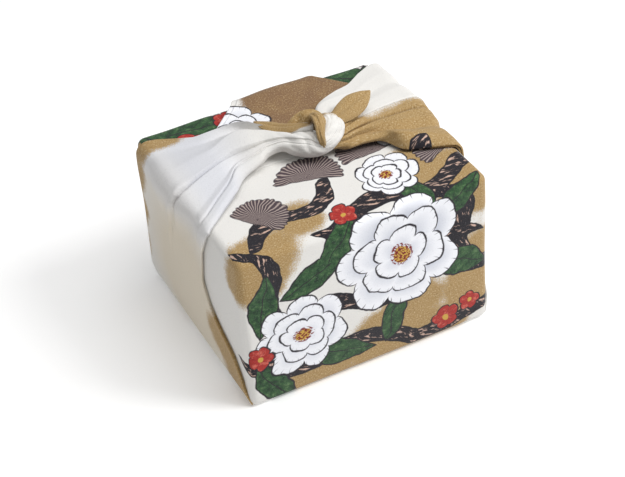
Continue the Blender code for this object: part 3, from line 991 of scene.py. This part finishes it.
def paintLeaves(colour, place, mottle):
    x, y, size = nearestMotif(place, leaves).split()
    distance = (1 - x * x - abs(y)) * size * leaf["thickness"]
    veins = ((x - abs(y) * leaf["veinLean"]) * leaf["veins"]).sine()
    green = place.mixedColours(inks["greenDeep"], inks["green"], (mottle - 0.35) * 5)
    green = green.mixed(inks["greenPale"], (mottle - 0.55) * 4)
    green = green.mixed(inks["outline"], (veins - leaf["veinWidth"]) * 9)
    colour = colour.mixed(green, distance.inside())
    rib = (lineWidth * 0.6 - abs(y) * size * leaf["thickness"]).inside() * distance.inside()
    return colour.mixed(inks["outline"], (lineWidth - abs(distance)).inside().most(rib))


def paintPeonies(colour, place):
    x, y, size = nearestMotif(place, roundMotifs(peonies)).split()
    angle, away = polar(x, y)
    shadeRate, shadeFrom = peony["shade"]
    for count, share, depth, start in peony["rings"]:
        distance = petalled(angle, away, size, count, share, depth, start)
        edge = (lineWidth - abs(distance)).inside()
        filled = distance.inside()
        shade = distance * shadeRate - shadeFrom
        petals = place.mixedColours(inks["white"], inks["petalShade"], shade)
        spokes = (peony["spokes"] - abs((angle * (count * 2.5) + start).sine())) * 0.02
        spokeEnd = (size * peony["spokeLength"] * share - distance).inside(0.004)
        spokes = spokes.inside() * spokeEnd * 0.8
        petals = petals.mixed(inks["outline"], spokes)
        colour = colour.mixed(petals, filled)
        colour = colour.mixed(inks["outline"], edge)
    core = (peony["core"] - away) * size
    colour = colour.mixed(inks["stamen"], core.inside())
    dots = ((place.noise(*peony["dots"]) - 0.5) * 0.01).inside(0.001)
    dots = dots * (core + size * 0.05).inside()
    return colour.mixed(inks["redDeep"], dots)


def paintBlossoms(colour, place, mottle):
    x, y, size = nearestMotif(place, roundMotifs(blossoms)).split()
    angle, away = polar(x, y)
    distance = petalled(angle, away, size, blossom["petals"], 1.0, blossom["depth"], 0.0)
    red = place.mixedColours(inks["red"], inks["redPale"], (mottle - 0.52) * 8)
    colour = colour.mixed(red, distance.inside())
    spokes = (blossom["spokes"] - abs((angle * blossom["petals"]).sine())) * 0.01
    spokes = spokes.inside() * ((blossom["spokeEnd"] - away) * size).inside()
    spokes = spokes * ((away - blossom["core"]) * size).inside()
    colour = colour.mixed(inks["redDeep"], spokes)
    colour = colour.mixed(inks["stamen"], ((blossom["core"] - away) * size).inside())
    return colour.mixed(inks["outline"], (lineWidth * 0.8 - abs(distance)).inside())


def paintPines(colour, place):
    x, y, size = nearestMotif(place, roundMotifs(pines)).split()
    angle, away = polar(x, y)
    fringe = 1 - pine["fringe"] + abs((angle * pine["teeth"]).sine()) * pine["fringe"]
    distance = (fringe - away).least(y + pine["cut"]) * size
    needles = ((angle * pine["needles"]).sine() * 0.9).most(0)
    needles = needles * ((away - pine["hole"]) * size).inside()
    needled = place.mixedColours(inks["pine"], inks["pineLine"], needles)
    colour = colour.mixed(needled, distance.inside())
    return colour.mixed(inks["outline"], (lineWidth * 0.7 - abs(distance)).inside() * 0.8)


def drifted(place, scale, amount):
    noisy = place.noise(scale, 2.0, 0.5, "Color")
    off = (noisy, (amount, amount, 0), (-amount / 2, -amount / 2, 0))
    return place.vector("ADD", place, place.vector("MULTIPLY_ADD", *off))


# Distance inside the clouds, which run together where they are close
def cloudDistance(place):
    inside = None
    for row in clouds:
        across, along, radius = (size * millimetre for size in row)
        distance = radius - place.distance((across, along, 0))
        inside = distance if inside is None else inside.math("SMOOTH_MAX", inside, distance, 0.02)
    return inside


def clothMaterial():
    material = bpy.data.materials.new("printed cotton")
    material.use_nodes = True
    tree = material.node_tree
    shader = tree.nodes["Principled BSDF"]
    nodes = Socket(tree)
    flat = nodes.make("ShaderNodeUVMap", {"uv_map": "cloth"})
    place = flat
    for scale, size in wobbles:
        place = drifted(place, scale, size)

    # ground: cream with clouds of gold whose edges break into grain
    grain = flat.noise(*grainNoise)
    coarse = flat.noise(*coarseNoise)
    goldness = (cloudDistance(place) + (grain - 0.5) * 0.016 + (coarse - 0.5) * 0.010).inside(0.006)
    gold = nodes.mixedColours(inks["gold"], inks["goldPale"], (grain - 0.52) * 3.2)
    gold = gold.mixed(inks["goldDeep"], (0.45 - grain) * 4.5 + (coarse - 0.5) * 1.2)
    across, along, _ = flat.split()
    umberness = ((umberArea["from"] - along) * umberArea["rate"]).least(umberArea["most"])
    umberness = umberness + (coarse - 0.5) + (0.5 - grain) * 2
    gold = gold.mixed(inks["umber"], umberness)
    cream = nodes.mixedColours(inks["cream"], inks["goldPale"], (grain - 0.62) * 2.0)
    # painted shade: the left wall, which lies in shade, is tinted towards pale gold round its
    # middle
    paintedShadeWashAmount = ((paintedShadeWash["radius"] - flat.distance(paintedShadeWash["middle"])) * paintedShadeWash["rate"]).least(paintedShadeWash["most"])
    cream = cream.mixed(inks["goldPale"], paintedShadeWashAmount)
    # painted shade: bluer cream in a band round the left side's top edge
    paintedShadeBandAmount = (paintedShadeBand["halfWidth"] - abs(across + paintedShadeBand["left"])) * paintedShadeBand["rate"]
    cream = cream.mixed(inks["paintedShadeBlueCream"], paintedShadeBandAmount)
    colour = cream.mixed(gold, goldness)

    mottle = place.noise(*mottleNoise)
    for row in streams:
        colour = paintStream(colour, place, row)
    colour = paintPines(colour, place)
    colour = paintLeaves(colour, place, mottle)
    colour = paintPeonies(colour, place)
    colour = paintBlossoms(colour, place, mottle)
    # ink sits unevenly on the crepe's grain
    colour = colour.mixed(white, (grain - 0.60) * 0.55)
    colour = colour.mixed(inks["outline"], (0.44 - grain) * 0.6)
    tree.links.new(colour.socket, shader.inputs["Base Color"])

    roughness = 0.86 - goldness * 0.12
    tree.links.new(roughness.socket, shader.inputs["Roughness"])
    fromEdge = (reach - abs(across) - abs(along)) * math.sqrt(0.5)
    raised = (hem["width"] - fromEdge).inside(hem["softness"])
    seam = (hem["seam"] - abs(fromEdge - hem["width"])).inside(hem["seamSoftness"])
    raised = raised - seam * hem["seamDepth"]
    crepe = flat.noise(*crepeNoise) + flat.noise(*rippleNoise) * 0.5 + raised
    bump = nodes.make("ShaderNodeBump", None, {"Height": crepe, **crepeRelief})
    tree.links.new(bump.socket, shader.inputs["Normal"])
    for name, value in surface.items():
        shader.inputs[name].default_value = value
    return material


clothPiece.data.materials.append(clothMaterial())
print("cotton woven and printed")

# Studio
studio = {
    "floorSize": 6.0,
    "target": (-0.001, 0.0, 0.062),
    "azimuth": -23.95,
    "elevation": 38.18,
    "roll": -4.83,
    "distance": 1.431,
    "focal": 97.92,
    "film": 36,
    "farthest": 20,
    "world": 0.33,
    "lights": [  # name, place, size, power
        ("overhead", (0.45, -0.30, 2.6), 2.0, 33),
        ("key", (1.9, -1.4, 2.5), 1.3, 60),
    ],
    "floor": {"Base Color": (0.9, 0.9, 0.9, 1), "Roughness": 0.9, "Emission Strength": 0.2},
}


def floorMaterial():
    material = bpy.data.materials.new("lit white table")
    material.use_nodes = True
    shader = material.node_tree.nodes["Principled BSDF"]
    for name, value in {"Emission Color": white, **studio["floor"]}.items():
        shader.inputs[name].default_value = value
    return material


def makeStudio():
    mesh = bmesh.new()
    bmesh.ops.create_grid(mesh, x_segments=1, y_segments=1, size=studio["floorSize"] / 2)
    data = bpy.data.meshes.new("floor")
    mesh.to_mesh(data)
    mesh.free()
    data.materials.append(floorMaterial())
    placed("floor", data)

    world = bpy.data.worlds.new("studio")
    scene.world = world
    world.use_nodes = True
    background = world.node_tree.nodes["Background"]
    background.inputs["Color"].default_value = white
    background.inputs["Strength"].default_value = studio["world"]

    for name, place, size, power in studio["lights"]:
        light = bpy.data.lights.new(name, "AREA")
        light.shape = "DISK"
        light.size = size
        light.energy = power
        lamp = placed(name, light)
        lamp.location = place
        aim = Vector(studio["target"]) - Vector(place)
        lamp.rotation_euler = aim.to_track_quat("-Z", "Y").to_euler()

    scene.view_settings.view_transform = "Standard"


def makeCamera():
    lens = bpy.data.cameras.new("camera")
    lens.sensor_width = studio["film"]
    lens.lens = studio["focal"]
    lens.clip_end = studio["farthest"]
    camera = placed("camera", lens)
    scene.camera = camera
    azimuth, elevation = math.radians(studio["azimuth"]), math.radians(studio["elevation"])
    back = Vector((
        math.sin(azimuth) * math.cos(elevation),
        -math.cos(azimuth) * math.cos(elevation),
        math.sin(elevation),
    ))
    camera.location = Vector(studio["target"]) + back * studio["distance"]
    camera.rotation_mode = "QUATERNION"
    aim = (-back).to_track_quat("-Z", "Y")
    camera.rotation_quaternion = aim @ Quaternion((0, 0, 1), math.radians(studio["roll"]))


makeStudio()
makeCamera()
print("studio lit")
